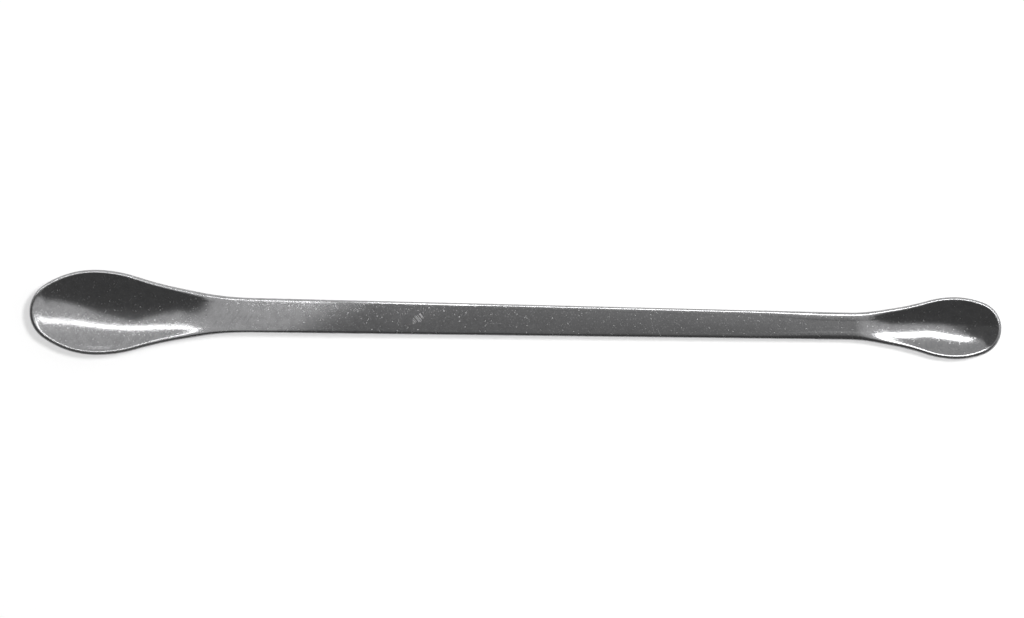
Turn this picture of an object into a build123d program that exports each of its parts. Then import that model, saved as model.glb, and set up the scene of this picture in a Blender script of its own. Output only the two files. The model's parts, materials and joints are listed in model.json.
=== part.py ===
"""Double-ended spoon spatula for the laboratory, one piece pressed from steel strip.

A flat handle tapers from a large egg-shaped bowl at -X to a small one at +X.
Both hollows face up. The cut edge is rounded all the way along.
The spatula lies as it rests on a bench: on the undersides of its two bowls.
"""

from build123d import *

import os
from dataclasses import dataclass
from math import asin, atan, atan2, cos, hypot, sin, sqrt

os.makedirs("parts", exist_ok=True)

# Driving dimensions in millimetres
overall_length = 160.0      # over the rounded rims of both tips
sheet_thickness = 1.0
edge_rounding = 0.46        # radius on each side of the cut edge
rim_radius = min(edge_rounding, 0.48 * sheet_thickness)

# Large bowl, measured along the axis from its tip and between the upper edges of its rim
big_width = 13.05
big_flare = 1.625           # how far each flank stands out past the rounding of the tip
big_widest_at = 10.55
big_back_radius = 24.0      # the flank from the widest place to the neck
big_depth = 2.8
big_fade_start = 24.4       # where the hollow begins to open out flat
big_fade_end = 33.5
big_neck_at = 37.4
big_neck_width = 5.7        # the handle's width at this end

# Small bowl, measured in the same way
small_width = 9.4
small_flare = 0.55
small_widest_at = 7.3
small_back_radius = 17.4
small_depth = 1.75
small_fade_start = 17.9
small_fade_end = 23.8
small_neck_at = 25.5
small_neck_width = 4.5

# The lofted pressing
stations = 18               # sections from the flat of the handle to past the tip
run_out = 1.5               # how far the pressing runs on past the tip
skirt = 0.6                 # how far it runs on past the sides of the bowl


@dataclass
class Bowl:
    """One end of the strip. Distances d run along the axis from the tip of the bowl."""

    side: int
    width: float
    flare: float
    widest_at: float
    back_radius: float
    depth: float
    fade_start: float
    fade_end: float
    neck_at: float
    neck_width: float

    @property
    def half_width(self):
        return self.width / 2

    @property
    def tip_radius(self):
        """Radius of the arc round the tip, whose centre lies on the axis."""
        return self.half_width - self.flare

    @property
    def press_radius(self):
        """Radius across the hollow, whose arc meets the level of the rim at the widest place."""
        return (self.half_width**2 + self.depth**2) / (2 * self.depth)

    @property
    def front_radius(self):
        """Flank arc that leaves the widest place parallel to the axis and touches the tip arc."""
        run = self.widest_at - self.tip_radius
        return (run**2 + self.half_width**2 - self.tip_radius**2) / (2 * self.flare)

    @property
    def neck_radius(self):
        """Hollow arc that touches the back flank and is parallel to the axis at the neck."""
        run = self.neck_at - self.widest_at
        drop = self.half_width - self.neck_width / 2
        return (run**2 + drop**2) / (2 * drop) - self.back_radius

    @property
    def tip_overhang(self):
        """How far the rounded rim stands out past its upper edge at the tip."""
        slope = atan(self.tip_radius / self.press_radius)
        return (sheet_thickness - rim_radius) * sin(slope) + rim_radius * (1 - cos(slope))

    @property
    def tip(self):
        """Place of the tip's upper edge along the length."""
        return self.side * (overall_length / 2 - self.tip_overhang)

    def along(self, d):
        return self.tip - self.side * d

    # Centres of the four arcs of the flank, as distance from the tip and from the axis

    @property
    def tip_centre(self):
        return self.tip_radius, 0.0

    @property
    def front_centre(self):
        return self.widest_at, self.half_width - self.front_radius

    @property
    def back_centre(self):
        return self.widest_at, self.half_width - self.back_radius

    @property
    def neck_centre(self):
        return self.neck_at, self.neck_width / 2 + self.neck_radius

    @property
    def tip_end(self):
        """Where the tip arc passes into the front flank."""
        return between(self.front_centre, self.tip_centre, self.front_radius)

    @property
    def back_end(self):
        """Where the back flank passes into the neck."""
        return between(self.back_centre, self.neck_centre, self.back_radius)

    def width_squared(self, d):
        """Half width squared at d, which goes on below zero past the tip."""
        if d < self.tip_end[0]:
            return self.tip_radius**2 - (d - self.tip_radius) ** 2
        if d < self.widest_at:
            return arc_height(self.front_centre, self.front_radius, d) ** 2
        if d < self.back_end[0]:
            return arc_height(self.back_centre, self.back_radius, d) ** 2
        return arc_height(self.neck_centre, -self.neck_radius, d) ** 2

    def curvature(self, d):
        """Curvature across the hollow, which fades smoothly to none."""
        fade = (d - self.fade_start) / (self.fade_end - self.fade_start)
        fade = min(max(fade, 0.0), 1.0)
        return (1 - fade**2 * (3 - 2 * fade)) / self.press_radius


def between(start, towards, distance):
    """The point at a distance from start towards or beyond another point."""
    run, rise = towards[0] - start[0], towards[1] - start[1]
    share = distance / hypot(run, rise)
    return start[0] + share * run, start[1] + share * rise


def arc_height(centre, radius, d):
    """Height at d of the upper half of a circle, or of its lower half for a negative radius."""
    height = sqrt(radius**2 - (d - centre[0]) ** 2)
    return centre[1] + (height if radius > 0 else -height)


big = Bowl(
    side=-1,
    width=big_width,
    flare=big_flare,
    widest_at=big_widest_at,
    back_radius=big_back_radius,
    depth=big_depth,
    fade_start=big_fade_start,
    fade_end=big_fade_end,
    neck_at=big_neck_at,
    neck_width=big_neck_width,
)
small = Bowl(
    side=1,
    width=small_width,
    flare=small_flare,
    widest_at=small_widest_at,
    back_radius=small_back_radius,
    depth=small_depth,
    fade_start=small_fade_start,
    fade_end=small_fade_end,
    neck_at=small_neck_at,
    neck_width=small_neck_width,
)


def across(bowl, d):
    """Plane across the strip at d, with its own X across and its own Y up."""
    return Plane(origin=(bowl.along(d), 0, 0), x_dir=(0, 1, 0), z_dir=(1, 0, 0))


def flank(bowl, handle_end):
    """One side of a bowl's outline as four tangent arcs, from the tip to the handle's edge."""

    def place(point):
        return bowl.along(point[0]), point[1]

    turn = -bowl.side
    tip_end, back_end = place(bowl.tip_end), place(bowl.back_end)
    widest = place((bowl.widest_at, bowl.half_width))
    RadiusArc((bowl.tip, 0), tip_end, turn * bowl.tip_radius)
    RadiusArc(tip_end, widest, turn * bowl.front_radius)
    RadiusArc(widest, back_end, turn * bowl.back_radius)
    RadiusArc(back_end, handle_end, -turn * bowl.neck_radius)


def handle_edge():
    """Both ends of the straight line that touches the two neck arcs."""
    big_centre = big.along(big.neck_at), big.neck_centre[1]
    small_centre = small.along(small.neck_at), small.neck_centre[1]
    run, rise = small_centre[0] - big_centre[0], small_centre[1] - big_centre[1]
    taper = atan2(rise, run) - asin((small.neck_radius - big.neck_radius) / hypot(run, rise))
    return [
        (centre[0] + radius * sin(taper), centre[1] - radius * cos(taper))
        for centre, radius in ((big_centre, big.neck_radius), (small_centre, small.neck_radius))
    ]


# Outline of the strip's upper face, which lies at Z = 0 until the finished piece is set down
with BuildSketch() as outline:
    with BuildLine():
        at_big, at_small = handle_edge()
        flank(big, at_big)
        Line(at_big, at_small)
        flank(small, at_small)
        mirror(about=Plane.XZ)
    make_face()


def pressing(bowl):
    """The hollow of a bowl, filled up to well above the rim.

    It is lofted back to back with its own mirror image and halved, so that its floor
    passes into the flat of the handle without a crease.
    """
    half_span = bowl.half_width + skirt
    top = 1.2 * bowl.press_radius
    step = (bowl.fade_end + run_out) / stations
    sections = []
    for number in range(-stations, stations + 1):
        d = bowl.fade_end - abs(number) * step
        with BuildSketch(across(bowl, bowl.fade_end + number * step)) as section:
            with BuildLine():
                if number == 0:
                    floor = Line((-half_span, 0), (half_span, 0))
                else:
                    radius = 1 / bowl.curvature(d)
                    middle = sqrt(radius**2 - bowl.width_squared(d)) - radius
                    edge = middle + radius - sqrt(radius**2 - half_span**2)
                    floor = ThreePointArc((-half_span, edge), (0, middle), (half_span, edge))
                Polyline(floor @ 1, (half_span, top), (-half_span, top), floor @ 0)
            make_face()
        sections.append(section.sketch)
    with BuildPart() as block:
        loft(sections)
        split(bisect_by=across(bowl, bowl.fade_end), keep=Keep.TOP if bowl.side > 0 else Keep.BOTTOM)
    return block.part


def pressed_sheet(bowl):
    """A bowl of even sheet thickness: the floor of the hollow, trimmed by the outline."""
    with BuildPart() as hollow:
        add(outline.sketch)
        extrude(amount=bowl.press_radius, both=True)
        add(pressing(bowl), mode=Mode.INTERSECT)
    floor = hollow.part.faces().filter_by(GeomType.BSPLINE).sort_by(Axis.Z)[0]
    with BuildPart() as sheet:
        thicken(floor, amount=sheet_thickness)
    return sheet.part


with BuildPart() as strip:
    # Flat handle between the two pressings
    flat_from, flat_to = big.along(big.fade_end), small.along(small.fade_end)
    with BuildSketch():
        add(outline.sketch)
        with Locations(((flat_from + flat_to) / 2, 0)):
            Rectangle(flat_to - flat_from, 2 * big.width, mode=Mode.INTERSECT)
    extrude(amount=-sheet_thickness)

    # Bowls
    add(pressed_sheet(big))
    add(pressed_sheet(small))

    # Rounded rim: both edges of the cut, all the way along
    walls = faces().filter_by(lambda face: abs(face.normal_at().Z) < 0.9)
    rim = walls.edges().filter_by(lambda edge: edge.length > 1.5 * sheet_thickness)
    fillet(rim, rim_radius)

# Set down on the bench: level across, and tipped lengthwise until both bowls touch it
lowest_big = big.along(big.widest_at)
lowest_small = small.along(small.widest_at)
tilt = atan((big.depth - small.depth) / (lowest_small - lowest_big))
lift = lowest_big * sin(tilt) + (big.depth + sheet_thickness) * cos(tilt)
at_rest = Plane(origin=(0, 0, lift), x_dir=(cos(tilt), 0, -sin(tilt)), z_dir=(sin(tilt), 0, cos(tilt)))

with BuildPart(at_rest) as spatula:
    add(strip.part)

spatula.part.label = "spatula"
export_step(spatula.part, "parts/spatula.step")
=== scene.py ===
"""Looks and studio for a double-ended laboratory spoon spatula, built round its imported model.

Geometry Nodes press the strip from a handful of sizes, in metres and in the model's own frame.
"""

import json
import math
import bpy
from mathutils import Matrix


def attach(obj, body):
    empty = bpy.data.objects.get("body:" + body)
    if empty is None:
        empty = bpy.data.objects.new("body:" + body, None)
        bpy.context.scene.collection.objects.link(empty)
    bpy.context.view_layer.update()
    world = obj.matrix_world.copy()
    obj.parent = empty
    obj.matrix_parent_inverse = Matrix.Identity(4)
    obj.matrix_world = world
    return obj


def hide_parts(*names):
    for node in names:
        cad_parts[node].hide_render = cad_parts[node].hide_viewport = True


bl_info = {
    "name": "Lab Spatula",
    "version": (1, 0, 0),
    "blender": (4, 5, 0),
    "location": "3D View > Sidebar > Spatula",
    "description": "Builds a polished double-ended lab spatula and a plain studio around it",
    "category": "Object",
}

import bpy
from bpy.props import FloatProperty, FloatVectorProperty, PointerProperty
from bpy.types import Operator, Panel, PropertyGroup

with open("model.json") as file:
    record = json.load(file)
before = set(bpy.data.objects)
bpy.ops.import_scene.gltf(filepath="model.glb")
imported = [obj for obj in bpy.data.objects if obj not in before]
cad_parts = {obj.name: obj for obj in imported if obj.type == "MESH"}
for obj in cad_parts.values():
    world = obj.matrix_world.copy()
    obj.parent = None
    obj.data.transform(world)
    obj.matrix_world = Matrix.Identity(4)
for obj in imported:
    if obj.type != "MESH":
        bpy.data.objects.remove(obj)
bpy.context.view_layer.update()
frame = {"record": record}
MM = 0.001
QUARTER = math.pi / 2.0
STEEL_COLOUR = (*frame["record"]["materials"][0]["base_color"], 1.0)
DULL_COLOUR = (0.5, 0.5, 0.51, 1.0)
BRIGHT_COLOUR = (0.95, 0.95, 0.95, 1.0)

# The strip's mesh
TIP_ROWS = 32
FRONT_ROWS = 34
BACK_ROWS = 40
NECK_ROWS = 44
HANDLE_ROWS = 48
ROWS = 2 * (TIP_ROWS + FRONT_ROWS + BACK_ROWS + NECK_ROWS) + HANDLE_ROWS
FACE_COLUMNS = 15           # from the middle of a face to its rounded edge
EDGE_COLUMNS = 40           # round the edge, from the upper face to the lower
COLUMNS = 2 * FACE_COLUMNS + EDGE_COLUMNS
HANDLE_MIDDLE = -2.0 * MM
TIGHT_EDGE_REACH = (54.0 * MM, 40.0 * MM)   # from the handle's middle: where it begins and is full
TIGHT_EDGE_NARROWER = 0.35
TIGHT_EDGE_FULLER = 0.4
STEP = 0.02 * MM            # over which slopes are measured
WELD = 0.0005 * MM

# Camera and bench
CAMERA_LENS = 106.25
CAMERA_SENSOR = 36.0
CAMERA_CLIP = 0.01
CAMERA_PLACE = (-0.7 * MM, 1.82 * MM)
PHOTO_ROLL = math.radians(1.056)
BENCH_SPAN = 6.0
CORNERS = ((-1.0, -1.0), (1.0, -1.0), (1.0, 1.0), (-1.0, 1.0))
BENCH_GLOW = 0.56           # to the camera
BENCH_SHEEN = 0.06          # in reflections

# The long lamp that only reflections show, and the key lamp that casts the shadow
LAMP_PLACE = (0.24, 0.252, 0.6)
LAMP_SIZE = (0.53, 0.12)
LAMP_TURN = math.radians(-23.0)
LAMP_LEVEL = 5.5
KEY_PLACE = (0.21, 0.12, 0.6)
KEY_SIZE = 0.11
KEY_ENERGY = 1.9

# The room's grey levels, and in degrees from straight up where each begins and is reached
ROOM_LIGHT, LIGHT_FROM = 0.43, (2.0, 13.0)
ROOM_SHADE, SHADE_FROM = 0.34, (20.0, 37.0)
EAST_DARK = 0.15
WEST_DARK, WEST_FROM = 0.08, (-1.0, -7.0)
SOUTH_DARK, SOUTH_FROM = 0.06, (-3.0, -14.0)
NORTH_BRIGHT, NORTH_FROM = 1.0, (76.0, 84.0)
LIGHT_HEADING = math.radians(40.0)      # of the room's light side, from east to north

# Plain panels over the bench that only reflections show, in millimetres and degrees:
# middle, length, width, turn, softness of the edges, level
PANEL_HEIGHT = 50.0
PANELS = {
    "strip_box": (-85.0, 25.6, 109.0, 9.5, -17.0, 1.2, LAMP_LEVEL),
    "square_box": (-17.0, 30.0, 20.0, 32.0, 0.0, 1.2, LAMP_LEVEL),
    "grey_panel": (-68.5, 114.2, 200.0, 200.0, -36.0, 9.0, 0.41),
    "dark_panel": (85.0, -103.0, 150.0, 200.0, 0.0, 10.0, 0.06),
}

# Wear on the polish in millimetres: middle, heading in degrees and length of each scratch
SCRATCHES = (
    (-39.0, -2.1, 0.0, 1.5),
    (-30.1, -2.0, -88.0, 1.3),
    (-8.3, 0.8, 42.0, 1.1),
    (-8.9, 0.7, 70.0, 0.8),
    (-3.3, -0.6, 2.0, 2.8),
    (22.5, -0.6, -76.0, 2.5),
    (23.5, -1.4, -68.0, 1.6),
    (24.3, -0.8, 43.0, 0.9),
    (26.4, 0.0, -28.0, 1.7),
    (26.1, -1.0, -88.0, 0.8),
)
SCRATCH_WIDTH = 0.07        # from its middle to where it has faded out
SCRATCH_LEVEL = 0.5

# The scuff: a cluster of short strokes side by side that shorten away from its middle
SCUFF = (-16.1, 0.0)
SCUFF_STROKES = 7
SCUFF_HEADING = -50.0
SCUFF_SPACING = 0.27
SCUFF_LENGTH = 1.9
SCUFF_SHORTENING = 1.1
SCUFF_SHIFTS = (0.12, 0.05)     # most that a stroke is moved along and across
SCUFF_WIDTH = 0.1

# Random marks: heading in radians, length and width of their cells, reach of a mark in its cell
# and share of the cells that hold one
SPECKS = (0.0, 0.85, 0.85, 0.15, 0.2)
FAINT_SPECKS = (0.5, 0.45, 0.45, 0.3, 0.45)
FAINT_LEVEL = 0.4
FLAT_SCRATCHES = (0.9, 1.4, 0.22, 0.3, 0.014)
STEEP_SCRATCHES = (2.4, 1.0, 0.2, 0.3, 0.014)
FINE_LEVEL = 0.6
MARK_CORE = 0.4             # share of a mark's reach over which it is full

# Faint ripples of the pressing beside the large bowl: middle, reach, and waves in radians per millimetre
RIPPLES = (-47.0, -0.4)
RIPPLES_REACH = (6.0, 1.7)
RIPPLES_WAVES = (7.5, -5.5)
RIPPLES_FADE = (1.0, 0.3)   # squared share of their reach where they begin and are full

# Noise of the polish, as scale and detail
GRAIN = (4500.0, 2.0)
BEADS = (1900.0, 2.0)
BREAKS = (900.0, 2.0)
MOTTLE = (800.0, 3.0)
DRIFT = (140.0, 2.0)
WAVES = (55.0, 1.0)

# Levels of the noise between which it takes effect
GRAIN_SPAN = (0.35, 0.65)
MOTTLE_SPAN = (0.3, 0.7)
BREAKS_SPAN = (0.42, 0.6)

# Where on the rounded edge, from 0 on the face to 1 at the outermost, beads and dullness set in and are full
BEADS_FROM = (0.02, 0.25)
RIM_FROM = (0.85, 0.97)

# The handle's crown and waves in millimetres, which reach from its middle and fade out before the bowls
CROWN_RADIUS = 65.0
WAVE_HEIGHT = 0.09
CROWN_REACH = (56.0, 40.0)

# Fine relief: its height where its level is 1, and the level of each form
RELIEF = 0.01 * MM
GRAIN_RELIEF = 0.2
MOTTLE_RELIEF = 0.04
SPECK_RELIEF = -0.35
SCRATCH_RELIEF = -0.5
RIPPLE_RELIEF = 0.4
BEAD_RELIEF = 0.35
BOWL_BEAD_RELIEF = 0.9      # more of it on the bowls, from the middle of the strip outwards
BOWLS_REACH = (40.0, 52.0)

# Roughness of the clean polish, and what each form adds
POLISH_ROUGHNESS = 0.05
DRIFT_ROUGHNESS = 0.07
MOTTLE_ROUGHNESS = 0.14
RIM_ROUGHNESS = 0.14
WEAR_ROUGHNESS = 0.24

# How far each form turns the steel's colour to the dull one, and wear to the bright one
MOTTLE_DULL = 0.45
GRAIN_DULL = 0.3
RIPPLE_DULL = 0.4
WEAR_BRIGHT = 0.5


# Node trees written as expressions


class Number:
    """A number in a node tree. Arithmetic on it adds Math nodes."""

    def __init__(self, net, socket):
        self.net = net
        self.socket = socket

    def math(self, operation, *others):
        return self.net.math(operation, self, *others)

    def __add__(self, other):
        return self.math("ADD", other)

    __radd__ = __add__

    def __sub__(self, other):
        return self.math("SUBTRACT", other)

    def __rsub__(self, other):
        return self.net.math("SUBTRACT", other, self)

    def __mul__(self, other):
        return self.math("MULTIPLY", other)

    __rmul__ = __mul__

    def __truediv__(self, other):
        return self.math("DIVIDE", other)

    def __rtruediv__(self, other):
        return self.net.math("DIVIDE", other, self)

    def __neg__(self):
        return self.math("MULTIPLY", -1.0)

    def __pow__(self, other):
        return self.math("POWER", other)

    def __lt__(self, other):
        return self.math("LESS_THAN", other)

    def __abs__(self):
        return self.math("ABSOLUTE")

    def squared(self):
        return self * self

    def root(self):
        return self.math("SQRT")

    def at_most(self, other):
        return self.math("MINIMUM", other)

    def at_least(self, other):
        return self.math("MAXIMUM", other)

    def clamped(self):
        return self.at_least(0.0).at_most(1.0)

    def ramp(self, low, high):
        """Smooth step from 0 at low to 1 at high."""
        share = ((self - low) / (high - low)).clamped()
        return share * share * (3.0 - 2.0 * share)


def sine(angle):
    return angle.math("SINE") if isinstance(angle, Number) else math.sin(angle)


def cosine(angle):
    return angle.math("COSINE") if isinstance(angle, Number) else math.cos(angle)


def choose(test, yes, no):
    """yes where test is 1, no where it is 0."""
    return test * yes + (1.0 - test) * no


class Net:
    """A node tree and the calls that fill it."""

    def __init__(self, tree):
        self.tree = tree

    def put(self, kind, settings, inputs):
        """Adds a node. Its settings are made first, then its sockets get values or links."""
        node = self.tree.nodes.new(kind)
        for name, value in settings.items():
            setattr(node, name, value)
        for name, value in inputs.items():
            self.feed(node.inputs[name], value)
        return node

    def feed(self, socket, value):
        for item in value if isinstance(value, list) else [value]:
            if isinstance(item, Number):
                item = item.socket
            if isinstance(item, bpy.types.NodeSocket):
                self.tree.links.new(item, socket)
            else:
                socket.default_value = item

    def number(self, kind, settings, inputs, output=0):
        return Number(self, self.put(kind, settings, inputs).outputs[output])

    def math(self, operation, *values):
        return self.number("ShaderNodeMath", {"operation": operation}, dict(enumerate(values)))

    def vector(self, x, y, z):
        return self.put("ShaderNodeCombineXYZ", {}, {"X": x, "Y": y, "Z": z}).outputs[0]

    def blend(self, share, first, second):
        """First colour where share is 0, second where it is 1."""
        inputs = {"Factor": share, 6: first, 7: second}
        return self.put("ShaderNodeMix", {"data_type": "RGBA"}, inputs).outputs[2]

    def split(self, vector):
        node = self.put("ShaderNodeSeparateXYZ", {}, {"Vector": vector})
        return [Number(self, output) for output in node.outputs]


# Sizes that a user would change


BOWLS = {
    "large": {
        "width": 13.05 * MM,
        "flare": 1.625 * MM,
        "widest_at": 10.55 * MM,
        "back_radius": 24.0 * MM,
        "depth": 2.8 * MM,
        "fade_start": 24.4 * MM,
        "fade_end": 33.5 * MM,
        "neck_at": 37.4 * MM,
        "neck_width": 5.7 * MM,
    },
    "small": {
        "width": 9.4 * MM,
        "flare": 0.55 * MM,
        "widest_at": 7.3 * MM,
        "back_radius": 17.4 * MM,
        "depth": 1.75 * MM,
        "fade_start": 17.9 * MM,
        "fade_end": 23.8 * MM,
        "neck_at": 25.5 * MM,
        "neck_width": 4.5 * MM,
    },
}
STRIP = ("length", "sheet", "edge_width", "edge_fullness")


class BowlSizes(PropertyGroup):
    """One bowl, measured along the axis from its tip and between the upper edges of its rim.

    Its defaults are the large bowl's, and register gives the small bowl its own.
    """

    width: FloatProperty(
        name="Width", description="Across the widest place",
        default=BOWLS["large"]["width"], unit="LENGTH",
    )
    flare: FloatProperty(
        name="Flare", description="How far each flank stands out past the rounding of the tip",
        default=BOWLS["large"]["flare"], unit="LENGTH",
    )
    widest_at: FloatProperty(
        name="Widest At", description="From the tip to the widest place",
        default=BOWLS["large"]["widest_at"], unit="LENGTH",
    )
    back_radius: FloatProperty(
        name="Back Radius", description="Of the flank from the widest place to the neck",
        default=BOWLS["large"]["back_radius"], unit="LENGTH",
    )
    depth: FloatProperty(
        name="Depth", description="From the rim's level to the floor",
        default=BOWLS["large"]["depth"], unit="LENGTH",
    )
    fade_start: FloatProperty(
        name="Fade Start", description="Where the hollow begins to open out flat",
        default=BOWLS["large"]["fade_start"], unit="LENGTH",
    )
    fade_end: FloatProperty(
        name="Fade End", description="Where the handle's flat begins",
        default=BOWLS["large"]["fade_end"], unit="LENGTH",
    )
    neck_at: FloatProperty(
        name="Neck At", description="From the tip to the neck",
        default=BOWLS["large"]["neck_at"], unit="LENGTH",
    )
    neck_width: FloatProperty(
        name="Neck Width", description="Of the handle at this end",
        default=BOWLS["large"]["neck_width"], unit="LENGTH",
    )


class StripSizes(PropertyGroup):
    """The pressed strip as a whole."""

    length: FloatProperty(name="Length", description="Over both tips", default=160.0 * MM, unit="LENGTH")
    sheet: FloatProperty(name="Sheet", description="Thickness of the strip", default=1.0 * MM, unit="LENGTH")
    edge_width: FloatProperty(
        name="Edge Width", description="How far in from its edge the strip is rounded off",
        default=1.5 * MM, unit="LENGTH",
    )
    edge_fullness: FloatProperty(
        name="Edge Fullness", description="Higher is squarer, with a tighter rounding", default=5.5
    )
    large: PointerProperty(type=BowlSizes, name="Large Bowl", description="At the handle's wide end")
    small: PointerProperty(type=BowlSizes, name="Small Bowl", description="At the handle's narrow end")


class StudioSizes(PropertyGroup):
    """Camera, lamp and bench."""

    camera_height: FloatProperty(
        name="Camera Height", description="Over the bench", default=0.5, unit="LENGTH"
    )
    bench_colour: FloatVectorProperty(
        name="Bench Colour", description="Of the bench top", subtype="COLOR", default=(0.8, 0.8, 0.8),
        min=0.0, max=1.0,
    )
    lamp_level: FloatProperty(
        name="Lamp Level", description="How bright the lamp's face is", default=LAMP_LEVEL
    )


# The strip's form


class Bowl:
    """A bowl's sizes as numbers of a node tree, with what follows from them."""

    def __init__(self, sizes, side):
        for name, value in sizes.items():
            setattr(self, name, value)
        self.side = side
        half_width = self.width / 2.0
        self.tip_radius = half_width - self.flare
        self.press_radius = (half_width.squared() + self.depth.squared()) / (2.0 * self.depth)
        run = self.widest_at - self.tip_radius
        self.front_radius = (run.squared() + half_width.squared() - self.tip_radius.squared()) / (
            2.0 * self.flare
        )
        run = self.neck_at - self.widest_at
        drop = half_width - self.neck_width / 2.0
        self.neck_radius = (run.squared() + drop.squared()) / (2.0 * drop) - self.back_radius

        # Heights of the arcs' centres, and how far the path turns on the tip arc and the back flank
        self.front_centre = half_width - self.front_radius
        self.back_centre = half_width - self.back_radius
        self.neck_centre = self.neck_width / 2.0 + self.neck_radius
        self.tip_turn = (-self.front_centre).math("ARCTAN2", self.widest_at - self.tip_radius)
        self.back_turn = run.math("ARCTAN2", self.neck_centre - self.back_centre)

    def tip(self, length, sheet, rounding):
        """Place of the tip's upper edge along the length, inside the overhang of its rounded rim."""
        slope = (self.tip_radius / self.press_radius).math("ARCTANGENT")
        overhang = sheet / 2.0 * sine(slope) + rounding * (1.0 - cosine(slope))
        return self.side * (length / 2.0 - overhang)

    def flank(self, taper):
        """Rows, radius and turn of the arcs from the tip to the straight handle, left turns positive."""
        return [
            (TIP_ROWS, -self.tip_radius, -self.tip_turn),
            (FRONT_ROWS, -self.front_radius, self.tip_turn - QUARTER),
            (BACK_ROWS, -self.back_radius, -self.back_turn),
            (NECK_ROWS, self.neck_radius, self.back_turn - self.side * taper),
        ]

    def rise(self, d, y):
        """Height of the pressed upper face over the handle's, and its slope across."""
        past_widest = (d - self.widest_at).squared()
        past_neck = (d - self.neck_at).squared()
        tip = self.tip_radius.squared() - (d - self.tip_radius).squared()
        front = self.front_centre + (self.front_radius.squared() - past_widest).root()
        back = self.back_centre + (self.back_radius.squared() - past_widest).root()
        neck = self.neck_centre - (self.neck_radius.squared() - past_neck).root()
        tip_end = self.tip_radius * (1.0 - cosine(self.tip_turn))
        back_end = self.widest_at + self.back_radius * sine(self.back_turn)
        behind = choose(d < back_end, back.squared(), neck.squared())
        behind = choose(d < self.widest_at, front.squared(), behind)
        width_squared = choose(d < tip_end, tip, behind)
        curvature = (1.0 - d.ramp(self.fade_start, self.fade_end)) / self.press_radius
        bend = curvature.squared()
        across = (1.0 - bend * y.squared()).root()
        at_rim = (1.0 - bend * width_squared).root()
        return curvature * (y.squared() - width_squared) / (at_rim + across), curvature * y / across


def open_tree(name, inputs, outputs):
    """A group with named sockets, and its inputs as numbers."""
    tree = bpy.data.node_groups.new(name, "GeometryNodeTree")
    for label, kind in inputs.items():
        tree.interface.new_socket(label, in_out="INPUT", socket_type=kind)
    for label, kind in outputs.items():
        tree.interface.new_socket(label, in_out="OUTPUT", socket_type=kind)
    net = Net(tree)
    given = net.put("NodeGroupInput", {}, {}).outputs
    return net, {label: Number(net, given[label]) for label in inputs}


def hollow_tree():
    """Height of one bowl's pressed face at a point of the plan."""
    names = ["x", "y", "side", "tip"] + list(BOWLS["large"])
    net, given = open_tree(
        "Pressed Hollow",
        {name: "NodeSocketFloat" for name in names},
        {"Rise": "NodeSocketFloat", "Slope": "NodeSocketFloat"},
    )
    bowl = Bowl({name: given[name] for name in BOWLS["large"]}, given["side"])
    d = bowl.side * (given["tip"] - given["x"])
    rise, slope = bowl.rise(d, given["y"])
    net.put("NodeGroupOutput", {}, {"Rise": rise, "Slope": slope})
    return net.tree


def follow(row, start, pieces):
    """Place and heading of each row on a path of tangent arcs, with a straight where the radius is None."""
    x, y, heading, bearing, first = start, 0.0, QUARTER, QUARTER, 0
    for rows, radius, amount in pieces:
        share = ((row - first) / rows).clamped()
        if radius is None:
            x = x + amount * share * cosine(heading)
            y = y + amount * share * sine(heading)
        else:
            turned = heading + amount * share
            x = x + radius * (sine(turned) - sine(heading))
            y = y + radius * (cosine(heading) - cosine(turned))
            bearing = bearing + amount * share
            heading = heading + amount
        first += rows
    return x, y, bearing


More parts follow.
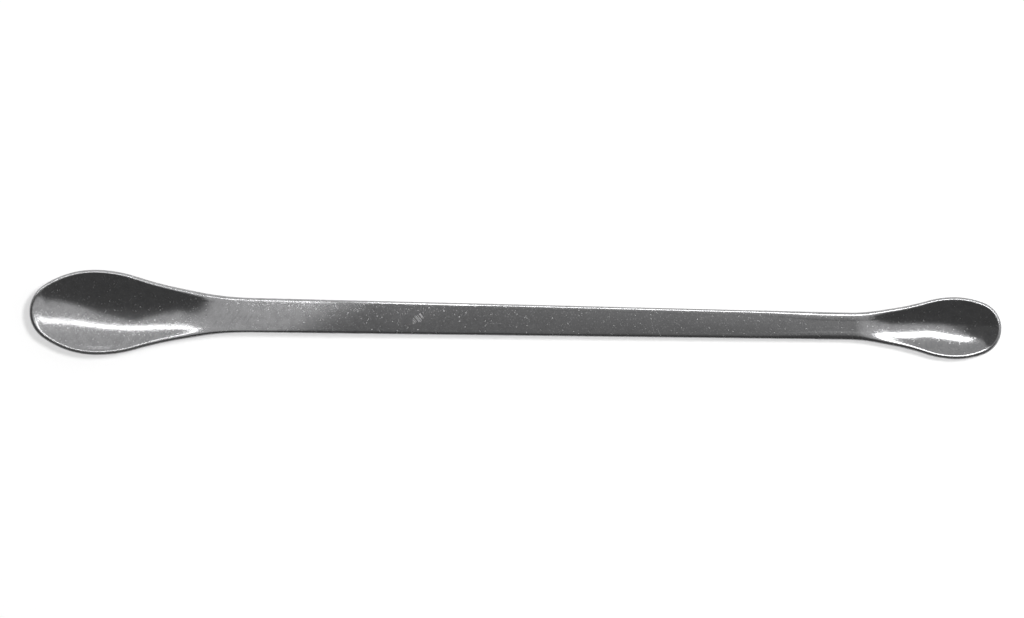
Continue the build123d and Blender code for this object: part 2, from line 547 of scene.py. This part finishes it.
def strip_tree():
    """The whole strip: half of it wrapped round from the upper face to the lower, then mirrored."""
    inputs = {name: "NodeSocketFloat" for name in STRIP}
    for bowl, sizes in BOWLS.items():
        inputs.update({bowl + "_" + name: "NodeSocketFloat" for name in sizes})
    inputs["material"] = "NodeSocketMaterial"
    net, given = open_tree("Pressed Strip", inputs, {"Geometry": "NodeSocketGeometry"})
    sheet, edge_width, fullness = given["sheet"], given["edge_width"], given["edge_fullness"]
    rounding = fullness * sheet.squared() / (8.0 * edge_width)
    bowls = {
        name: Bowl({size: given[name + "_" + size] for size in BOWLS[name]}, side)
        for name, side in (("large", -1.0), ("small", 1.0))
    }
    large, small = bowls["large"], bowls["small"]
    tips = {name: bowl.tip(given["length"], sheet, rounding) for name, bowl in bowls.items()}
    hollow = hollow_tree()

    def surface(x, y):
        """Height of the upper face and its slope across, with both hollows."""
        rise, slope = 0.0, 0.0
        for name, bowl in bowls.items():
            sizes = {"x": x, "y": y, "side": bowl.side, "tip": tips[name]}
            sizes.update({size: given[name + "_" + size] for size in BOWLS[name]})
            node = net.put("GeometryNodeGroup", {"node_tree": hollow}, sizes)
            rise = rise + Number(net, node.outputs["Rise"])
            slope = slope + Number(net, node.outputs["Slope"])
        return rise, slope

    # The straight that touches both neck arcs
    run = tips["small"] - small.neck_at - tips["large"] - large.neck_at
    lift = small.neck_centre - large.neck_centre
    widening = small.neck_radius - large.neck_radius
    span = run.squared() + lift.squared()
    taper = lift.math("ARCTAN2", run) - (widening / span.root()).math("ARCSINE")
    straight = (span - widening.squared()).root()

    # Rows go round the outline and columns from the middle of the upper face to that of the lower
    index = net.number("GeometryNodeInputIndex", {}, {})
    row = (index / (COLUMNS + 1.0)).math("FLOOR")
    column = index - row * (COLUMNS + 1.0)
    path = large.flank(taper) + [(HANDLE_ROWS, None, straight)] + small.flank(taper)[::-1]
    rim_x, rim_y, bearing = follow(row, tips["large"], path)
    out_x, out_y = -sine(bearing), cosine(bearing)
    fall = -surface(rim_x - STEP * out_x, rim_y - STEP * out_y)[0] / STEP

    # Round the edge, tighter along the handle: how far in from the rim and above the middle of the sheet
    tight = abs(rim_x - HANDLE_MIDDLE).ramp(*TIGHT_EDGE_REACH)
    edge_width = edge_width * (1.0 - TIGHT_EDGE_NARROWER * tight)
    fullness = fullness * (1.0 + TIGHT_EDGE_FULLER * tight)
    share = 1.0 - 2.0 * ((column - FACE_COLUMNS) / EDGE_COLUMNS).clamped()
    angle = QUARTER * share * (2.0 - abs(share))
    rounded = abs(cosine(angle)) ** (2.0 / fullness)
    inwards = edge_width * (1.0 - rounded)
    above_middle = sheet / 2.0 * sine(angle)
    inwards = inwards / (1.0 + fall.squared()).root()
    towards_middle = (column.at_most(COLUMNS - column) / FACE_COLUMNS).at_most(1.0)
    x = rim_x - inwards * out_x
    y = (rim_y - inwards * out_y) * towards_middle
    z, slope_y = surface(x, y)
    slope_x = (surface(x + STEP, y)[0] - surface(x - STEP, y)[0]) / (2.0 * STEP)
    below_face = (sheet / 2.0 - above_middle) / (1.0 + slope_x.squared() + slope_y.squared()).root()
    place = net.vector(x + below_face * slope_x, y + below_face * slope_y, z - below_face)

    # Half the strip, its mirror image, and both welded into one closed skin
    grid = net.put("GeometryNodeMeshGrid", {}, {"Vertices X": ROWS + 1, "Vertices Y": COLUMNS + 1})
    half = net.put("GeometryNodeSetPosition", {}, {"Geometry": grid.outputs["Mesh"], "Position": place})
    half = net.put(
        "GeometryNodeStoreNamedAttribute",
        {"data_type": "FLOAT", "domain": "POINT"},
        {"Geometry": half.outputs[0], "Name": "edge", "Value": rounded},
    ).outputs[0]
    mirrored = net.put("GeometryNodeTransform", {}, {"Geometry": half, "Scale": (1.0, -1.0, 1.0)})
    mirrored = net.put("GeometryNodeFlipFaces", {}, {"Mesh": mirrored.outputs[0]}).outputs[0]
    skin = net.put("GeometryNodeJoinGeometry", {}, {"Geometry": [half, mirrored]}).outputs[0]
    skin = net.put("GeometryNodeMergeByDistance", {}, {"Geometry": skin, "Distance": WELD}).outputs[0]
    skin = net.put("GeometryNodeSetShadeSmooth", {}, {"Geometry": skin, "Shade Smooth": True}).outputs[0]

    # Set down on the undersides of both bowls
    lowest_large = tips["large"] + large.widest_at
    lowest_small = tips["small"] - small.widest_at
    tilt = ((large.depth - small.depth) / (lowest_small - lowest_large)).math("ARCTANGENT")
    height = lowest_large * sine(tilt) + (large.depth + sheet) * cosine(tilt)
    skin = net.put(
        "GeometryNodeTransform",
        {},
        {
            "Geometry": skin,
            "Translation": net.vector(0.0, 0.0, height),
            "Rotation": net.vector(0.0, tilt, 0.0),
        },
    ).outputs[0]
    skin = net.put("GeometryNodeRealizeInstances", {}, {"Geometry": skin}).outputs[0]
    finish = {"Geometry": skin, "Material": given["material"]}
    skin = net.put("GeometryNodeSetMaterial", {}, finish).outputs[0]
    net.put("NodeGroupOutput", {}, {"Geometry": skin})
    return net.tree


def grow(name, tree, values):
    """A plain mesh object grown by a Geometry Nodes tree from its named inputs."""
    obj = bpy.data.objects.new(name, bpy.data.meshes.new(name))
    bpy.context.scene.collection.objects.link(obj)
    modifier = obj.modifiers.new(name, "NODES")
    modifier.node_group = tree
    for item in tree.interface.items_tree:
        if item.in_out == "INPUT":
            modifier[item.identifier] = values[item.name]
    evaluated = obj.evaluated_get(bpy.context.evaluated_depsgraph_get())
    mesh = bpy.data.meshes.new_from_object(evaluated)
    obj.modifiers.clear()
    obj.data = mesh
    return obj


# Finish


def open_material(name):
    material = bpy.data.materials.new(name)
    material.use_nodes = True
    material.node_tree.nodes.clear()
    return material, Net(material.node_tree)


def noise(net, place, scale, detail):
    return net.number("ShaderNodeTexNoise", {}, {"Vector": place, "Scale": scale, "Detail": detail})


def marks(net, x, y, heading, length, width, reach, share):
    """Random marks that all run one way, one in each of a share of the cells."""
    along = (x * math.cos(heading) + y * math.sin(heading)) / length
    across = (y * math.cos(heading) - x * math.sin(heading)) / width
    place = {"Vector": net.vector(along, across, 0.0), "Scale": 1.0}
    cells = net.put("ShaderNodeTexVoronoi", {"voronoi_dimensions": "2D"}, place)
    chance = net.number("ShaderNodeSeparateColor", {}, {"Color": cells.outputs["Color"]})
    return Number(net, cells.outputs["Distance"]).ramp(reach, MARK_CORE * reach) * (chance < share)


def scratch(x, y, middle_x, middle_y, heading, length, width):
    """One straight scratch with soft ends."""
    turn = math.radians(heading)
    along = abs((x - middle_x) * math.cos(turn) + (y - middle_y) * math.sin(turn))
    across = abs((y - middle_y) * math.cos(turn) - (x - middle_x) * math.sin(turn))
    return (1.0 - across / width).clamped() * along.ramp(length / 2.0, length / 4.0)


def scratches(net, x, y):
    """Random fine scratches, and those that have places of their own."""
    fine = FINE_LEVEL * marks(net, x, y, *FLAT_SCRATCHES)
    fine = fine.at_least(FINE_LEVEL * marks(net, x, y, *STEEP_SCRATCHES))
    for middle_x, middle_y, heading, length in SCRATCHES:
        one = scratch(x, y, middle_x, middle_y, heading, length, SCRATCH_WIDTH)
        fine = fine.at_least(SCRATCH_LEVEL * one)
    return fine


def scuff(x, y):
    """Strokes side by side, each shifted a little along and across."""
    turn = math.radians(SCUFF_HEADING)
    strokes = 0.0
    for number in range(SCUFF_STROKES):
        ahead = SCUFF_SHIFTS[0] * math.sin(5.0 * number)
        aside = SCUFF_SPACING * (number - (SCUFF_STROKES - 1) / 2.0)
        aside += SCUFF_SHIFTS[1] * math.sin(4.0 * number)
        middle_x = SCUFF[0] + ahead * math.cos(turn) - aside * math.sin(turn)
        middle_y = SCUFF[1] + ahead * math.sin(turn) + aside * math.cos(turn)
        length = SCUFF_LENGTH - SCUFF_SHORTENING * abs(aside)
        strokes = scratch(x, y, middle_x, middle_y, SCUFF_HEADING, length, SCUFF_WIDTH).at_least(strokes)
    return strokes


def ripples_beside_bowl(net, x, y, place):
    """Broken slanting waves inside an oval patch."""
    patch = ((x - RIPPLES[0]) / RIPPLES_REACH[0]).squared() + ((y - RIPPLES[1]) / RIPPLES_REACH[1]).squared()
    waves = sine(RIPPLES_WAVES[0] * x + RIPPLES_WAVES[1] * y)
    return waves * patch.ramp(*RIPPLES_FADE) * noise(net, place, *BREAKS).ramp(*BREAKS_SPAN)


def steel():
    """Buffed stainless steel with fine wear."""
    material, net = open_material("polished_steel")
    place = net.put("ShaderNodeTexCoord", {}, {}).outputs["Object"]
    x, y = (part / MM for part in net.split(place)[:2])
    edge = net.number("ShaderNodeAttribute", {"attribute_name": "edge"}, {}, "Fac")
    grain, mottle = noise(net, place, *GRAIN), noise(net, place, *MOTTLE)
    specks = marks(net, x, y, *SPECKS).at_least(FAINT_LEVEL * marks(net, x, y, *FAINT_SPECKS))
    fine = scratches(net, x, y).at_least(scuff(x, y))
    wear = specks.at_least(fine)
    ripples = ripples_beside_bowl(net, x, y, place)

    # The polish leaves the handle slightly crowned and gently wavy
    handle = abs(x - HANDLE_MIDDLE / MM).ramp(*CROWN_REACH)
    crown = handle * (WAVE_HEIGHT * noise(net, place, *WAVES) - y.squared() / (2.0 * CROWN_RADIUS))
    form = net.put("ShaderNodeBump", {}, {"Strength": 1.0, "Distance": MM, "Height": crown})

    # Fine relief, beaded along the rim and most of all on the bowls
    bead_level = BEAD_RELIEF + BOWL_BEAD_RELIEF * abs(x).ramp(*BOWLS_REACH)
    beading = noise(net, place, *BEADS) * edge.ramp(*BEADS_FROM) * bead_level
    height = GRAIN_RELIEF * grain + MOTTLE_RELIEF * mottle + beading
    height = height + SPECK_RELIEF * specks + SCRATCH_RELIEF * fine + RIPPLE_RELIEF * ripples
    relief = {"Strength": 1.0, "Distance": RELIEF, "Height": height, "Normal": form.outputs[0]}
    bump = net.put("ShaderNodeBump", {}, relief)

    # Polish is duller where it drifts, mottles, turns over the rim and is worn
    roughness = POLISH_ROUGHNESS + DRIFT_ROUGHNESS * noise(net, place, *DRIFT) + MOTTLE_ROUGHNESS * mottle
    roughness = roughness + RIM_ROUGHNESS * edge.ramp(*RIM_FROM) + WEAR_ROUGHNESS * wear
    dull = MOTTLE_DULL * mottle.ramp(*MOTTLE_SPAN) + GRAIN_DULL * grain.ramp(*GRAIN_SPAN)
    dull = dull + RIPPLE_DULL * ripples.at_least(0.0)
    colour = net.blend(dull, STEEL_COLOUR, DULL_COLOUR)
    colour = net.blend(WEAR_BRIGHT * wear, colour, BRIGHT_COLOUR)
    surface = {"Base Color": colour, "Metallic": 1.0, "Roughness": roughness, "Normal": bump.outputs[0]}
    shader = net.put("ShaderNodeBsdfPrincipled", {}, surface)
    net.put("ShaderNodeOutputMaterial", {}, {"Surface": shader.outputs[0]})
    return material


def bench_top(colour):
    """Pale bench top, white to the camera and in reflections while it keeps its shadows."""
    material, net = open_material("bench_top")
    rays = net.put("ShaderNodeLightPath", {}, {}).outputs
    reflected = Number(net, rays["Is Glossy Ray"]) + Number(net, rays["Is Transmission Ray"])
    level = BENCH_GLOW * Number(net, rays["Is Camera Ray"]) + BENCH_SHEEN * reflected
    diffuse = net.put("ShaderNodeBsdfDiffuse", {}, {"Color": (*colour, 1.0)})
    glow = net.put("ShaderNodeEmission", {}, {"Color": (1.0, 1.0, 1.0, 1.0), "Strength": level})
    both = net.put("ShaderNodeAddShader", {}, {0: diffuse.outputs[0], 1: glow.outputs[0]})
    net.put("ShaderNodeOutputMaterial", {}, {"Surface": both.outputs[0]})
    return material


def room_light(net, direction):
    """Grey level of the room by direction: light towards the north east, dark elsewhere."""
    x, y, z = net.split(direction)
    east = x.math("ARCTAN2", z) * math.degrees(1.0)
    north = y.math("ARCTAN2", z) * math.degrees(1.0)
    dark = choose(east.ramp(*WEST_FROM), WEST_DARK, EAST_DARK)
    dark = choose(north.ramp(*SOUTH_FROM), SOUTH_DARK, dark)
    light = choose(north.ramp(*SHADE_FROM), ROOM_SHADE, ROOM_LIGHT)
    towards_light = math.cos(LIGHT_HEADING) * east + math.sin(LIGHT_HEADING) * north
    level = choose(towards_light.ramp(*LIGHT_FROM), light, dark)
    return choose(north.ramp(*NORTH_FROM), NORTH_BRIGHT, level)


def panel_finish(name, length, width, softness, level):
    """Evenly glowing panel with soft edges."""
    material, net = open_material(name)
    x, y = net.split(net.put("ShaderNodeTexCoord", {}, {}).outputs["Object"])[:2]
    ends = (length * MM / 2.0 - abs(x)).ramp(0.0, softness * MM)
    sides = (width * MM / 2.0 - abs(y)).ramp(0.0, softness * MM)
    glow = net.put("ShaderNodeEmission", {}, {"Color": (1.0, 1.0, 1.0, 1.0), "Strength": level})
    clear = net.put("ShaderNodeBsdfTransparent", {}, {})
    both = net.put("ShaderNodeMixShader", {}, {0: ends * sides, 1: clear.outputs[0], 2: glow.outputs[0]})
    net.put("ShaderNodeOutputMaterial", {}, {"Surface": both.outputs[0]})
    return material


def flat(name, length, width, material):
    """A level rectangle of the studio, round its own middle."""
    mesh = bpy.data.meshes.new(name)
    corners = [(side * length / 2.0, end * width / 2.0, 0.0) for side, end in CORNERS]
    mesh.from_pydata(corners, [], [(0, 1, 2, 3)])
    mesh.materials.append(material)
    obj = bpy.data.objects.new(name, mesh)
    bpy.context.scene.collection.objects.link(obj)
    return obj


# Steps


class SPATULA_OT_studio(Operator):
    """Sets the bench top, plain panels, lamps, the room's soft light and the camera overhead"""

    bl_idname = "spatula.studio"
    bl_label = "Build Studio"

    def execute(self, context):
        sizes = context.scene.spatula_studio
        flat("bench", BENCH_SPAN, BENCH_SPAN, bench_top(sizes.bench_colour))
        for name, (x, y, length, width, turn, softness, level) in PANELS.items():
            finish = panel_finish(name, length, width, softness, level)
            panel = flat(name, length * MM, width * MM, finish)
            panel.location = (x * MM, y * MM, PANEL_HEIGHT * MM)
            panel.rotation_euler = (0.0, 0.0, math.radians(turn))
            panel.visible_camera = False
            panel.visible_diffuse = False
            panel.visible_transmission = False
            panel.visible_shadow = False

        lamp = bpy.data.lights.new("overhead_lamp", "AREA")
        lamp.shape = "RECTANGLE"
        lamp.size, lamp.size_y = LAMP_SIZE
        lamp.energy = sizes.lamp_level * math.pi * lamp.size * lamp.size_y
        overhead = bpy.data.objects.new("overhead_lamp", lamp)
        overhead.location = LAMP_PLACE
        overhead.rotation_euler = (0.0, 0.0, LAMP_TURN)
        overhead.visible_camera = False
        overhead.visible_diffuse = False
        context.scene.collection.objects.link(overhead)

        light = bpy.data.lights.new("key_lamp", "AREA")
        light.size = KEY_SIZE
        light.energy = KEY_ENERGY
        key = bpy.data.objects.new("key_lamp", light)
        key.location = KEY_PLACE
        key.rotation_euler = key.location.to_track_quat("Z", "Y").to_euler()
        key.visible_camera = False
        key.visible_glossy = False
        context.scene.collection.objects.link(key)

        world = bpy.data.worlds.new("studio")
        context.scene.world = world
        world.use_nodes = True
        world.node_tree.nodes.clear()
        net = Net(world.node_tree)
        camera_ray = net.put("ShaderNodeLightPath", {}, {}).outputs["Is Camera Ray"]
        direction = net.put("ShaderNodeTexCoord", {}, {}).outputs["Generated"]
        room = net.put("ShaderNodeBackground", {}, {"Color": room_light(net, direction), "Strength": 1.0})
        white = net.put("ShaderNodeBackground", {}, {"Color": (1.0, 1.0, 1.0, 1.0), "Strength": 1.0})
        mix = net.put("ShaderNodeMixShader", {}, {0: camera_ray, 1: room.outputs[0], 2: white.outputs[0]})
        net.put("ShaderNodeOutputWorld", {}, {"Surface": mix.outputs[0]})

        camera = bpy.data.cameras.new("overhead_camera")
        camera.lens = CAMERA_LENS
        camera.sensor_width = CAMERA_SENSOR
        camera.clip_start = CAMERA_CLIP
        viewer = bpy.data.objects.new("overhead_camera", camera)
        viewer.location = (*CAMERA_PLACE, sizes.camera_height)
        viewer.rotation_euler = (0.0, 0.0, PHOTO_ROLL)
        context.scene.collection.objects.link(viewer)
        context.scene.camera = viewer
        context.scene.view_settings.view_transform = "Standard"
        return {"FINISHED"}


class SPATULA_OT_strip(Operator):
    """Presses the strip with its two bowls and gives it its polish"""

    bl_idname = "spatula.strip"
    bl_label = "Build Strip"

    def execute(self, context):
        sizes = context.scene.spatula_strip
        values = {name: getattr(sizes, name) for name in STRIP}
        for bowl in BOWLS:
            group = getattr(sizes, bowl)
            values.update({bowl + "_" + name: getattr(group, name) for name in BOWLS[bowl]})
        values["material"] = steel()
        strip = grow("spoon_strip", strip_tree(), values)
        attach(strip, "root")
        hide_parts("spatula")
        return {"FINISHED"}


class SPATULA_PT_sidebar(Panel):
    """Lists the sizes and the steps"""

    bl_idname = "SPATULA_PT_sidebar"
    bl_label = "Lab Spatula"
    bl_space_type = "VIEW_3D"
    bl_region_type = "UI"
    bl_category = "Spatula"

    def draw(self, context):
        strip = context.scene.spatula_strip
        for group, names in (
            (strip, STRIP), (strip.large, BOWLS["large"]), (strip.small, BOWLS["small"]),
            (context.scene.spatula_studio, ("camera_height", "bench_colour", "lamp_level")),
        ):
            box = self.layout.box()
            for name in names:
                box.prop(group, name)
        for step in STEPS:
            self.layout.operator(step.bl_idname)


STEPS = (SPATULA_OT_studio, SPATULA_OT_strip)
CLASSES = (BowlSizes, StripSizes, StudioSizes, *STEPS, SPATULA_PT_sidebar)


def register():
    for cls in CLASSES:
        bpy.utils.register_class(cls)
    bpy.types.Scene.spatula_strip = PointerProperty(type=StripSizes)
    bpy.types.Scene.spatula_studio = PointerProperty(type=StudioSizes)
    for name, value in BOWLS["small"].items():
        setattr(bpy.context.scene.spatula_strip.small, name, value)


def unregister():
    del bpy.types.Scene.spatula_studio
    del bpy.types.Scene.spatula_strip
    for cls in reversed(CLASSES):
        bpy.utils.unregister_class(cls)


def main():
    register()
    bpy.ops.spatula.studio()
    bpy.ops.spatula.strip()


if __name__ == "__main__":
    main()
